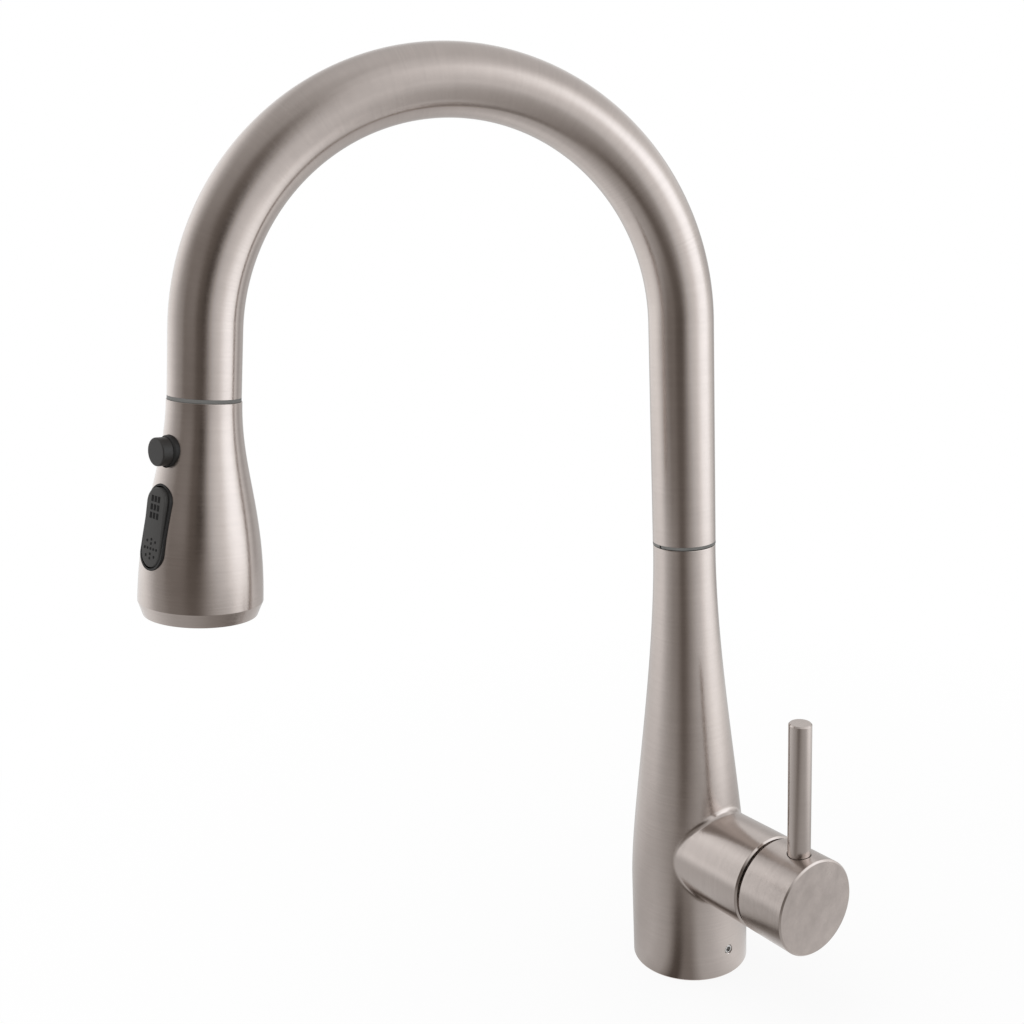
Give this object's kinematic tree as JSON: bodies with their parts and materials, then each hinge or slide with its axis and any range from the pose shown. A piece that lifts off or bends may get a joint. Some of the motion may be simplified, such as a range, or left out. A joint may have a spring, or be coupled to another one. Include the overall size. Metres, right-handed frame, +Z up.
{
  "type": "pull down kitchen faucet",
  "caption": "Single-hole mixer tap with a swivelling gooseneck spout, a flared pull-down spray head with button and rocker, and a side pin lever.",
  "frame": {"origin": "centre of the round foot, on the deck plane", "axes": "+Z up the body axis, +X along the lever barrel, -Y is the front; at rest the spout is swung 15 degrees from -Y towards -X"},
  "size_m": [0.1619, 0.2601, 0.424],
  "materials": {
    "brushed_nickel": "fine circumferential brushing, satin",
    "brass": "machined",
    "bare_steel": "turned, bright",
    "black_plastic": "satin moulded",
    "charcoal_plastic": "matt moulded with printed marks",
    "grey_plastic": "moulded",
    "rubber": "moulded",
    "grey_silicone": "moulded",
    "ceramic": "lapped",
    "hose_braid": "woven nylon braid"
  },
  "bodies": {
    "body": {"body_shell": "brushed_nickel", "base_insert": "brass", "base_gasket": "rubber", "base_set_screw": "bare_steel", "hot_inlet_tube": "brass", "mixed_outlet_tube": "brass", "cold_inlet_tube": "brass", "cartridge_seal": "rubber", "cartridge_housing": "grey_plastic", "fixed_disc": "ceramic", "cartridge_nut": "brass", "glide_ring": "grey_plastic", "spray_hose_lower": "hose_braid"},
    "stem_carrier": {"stem_carrier": "grey_plastic", "stem_pivot_pin": "bare_steel"},
    "moving_disc": {"moving_disc": "ceramic"},
    "handle": {"cartridge_stem": "bare_steel", "handle_cap": "brushed_nickel", "lever_pin": "brushed_nickel"},
    "spout": {"spout_tube": "brushed_nickel", "spout_spigot": "brass", "spigot_oring_1": "rubber", "spigot_oring_2": "rubber", "spigot_clip": "bare_steel", "dock_collar": "grey_plastic", "spray_hose_upper": "hose_braid"},
    "hose_end": {"hose_ferrule": "bare_steel", "spray_hose_end": "hose_braid"},
    "spray_head": {"head_shell": "brushed_nickel", "head_core": "grey_plastic", "hose_nut": "brass", "inlet_washer": "rubber", "check_valve": "black_plastic", "button_bezel": "black_plastic", "button_spring": "bare_steel", "rocker_frame": "black_plastic", "rocker_pin": "bare_steel", "nozzle_pad": "grey_silicone", "spray_face": "black_plastic", "aerator": "grey_plastic", "aerator_screen": "bare_steel"},
    "pause_button": {"pause_button": "black_plastic", "pause_plunger": "bare_steel"},
    "rocker": {"rocker": "charcoal_plastic"},
    "diverter_spool": {"diverter_spool": "brass"}
  },
  "joints": [
    {"name": "spout_swivel", "type": "hinge", "parent": "body", "child": "spout", "pos_m": [0, 0, 0.2092], "axis": [0, 0, 1], "continuous": true},
    {"name": "spray_head_pull", "type": "slide", "parent": "spout", "child": "hose_end", "axis": [-0.0315, -0.1177, -0.9925], "range_m": [0, 0.45], "stiffness_N_per_m": 3, "springref_m": -3, "deforming": ["spray_hose_end"]},
    {"name": "spray_head_swivel", "type": "hinge", "parent": "hose_end", "child": "spray_head", "pos_m": [-0.05321, -0.19858, 0.29347], "axis": [-0.0315, -0.1177, -0.9925], "continuous": true},
    {"name": "lever_temperature", "type": "hinge", "parent": "body", "child": "stem_carrier", "pos_m": [0.043, 0, 0.0605], "axis": [1, 0, 0], "range_deg": [-45, 45]},
    {"name": "lever_flow", "type": "hinge", "parent": "stem_carrier", "child": "handle", "pos_m": [0.043, 0, 0.0605], "axis": [0, 1, 0], "range_deg": [0, 20]},
    {"name": "disc_slide", "type": "slide", "parent": "stem_carrier", "child": "moving_disc", "axis": [0, 0, 1], "range_m": [0, 0.00409]},
    {"name": "button_press", "type": "slide", "parent": "spray_head", "child": "pause_button", "axis": [-0.2436, 0.964, -0.1066], "range_m": [0, 0.0022], "stiffness_N_per_m": 400, "springref_m": -0.001, "deforming": ["button_spring"]},
    {"name": "rocker_tilt", "type": "hinge", "parent": "spray_head", "child": "rocker", "pos_m": [-0.05004, -0.22291, 0.24726], "axis": [-0.9694, -0.2384, 0.0591], "range_deg": [0, 6]},
    {"name": "spool_slide", "type": "slide", "parent": "spray_head", "child": "diverter_spool", "axis": [-0.0315, -0.1177, -0.9925], "range_m": [0, 0.00128]}
  ],
  "couplings": [
    {"joint": "disc_slide", "follows": "lever_flow", "m_per_rad": 0.0117},
    {"joint": "rocker_tilt", "follows": "spool_slide", "rad_per_m": 81.297}
  ]
}
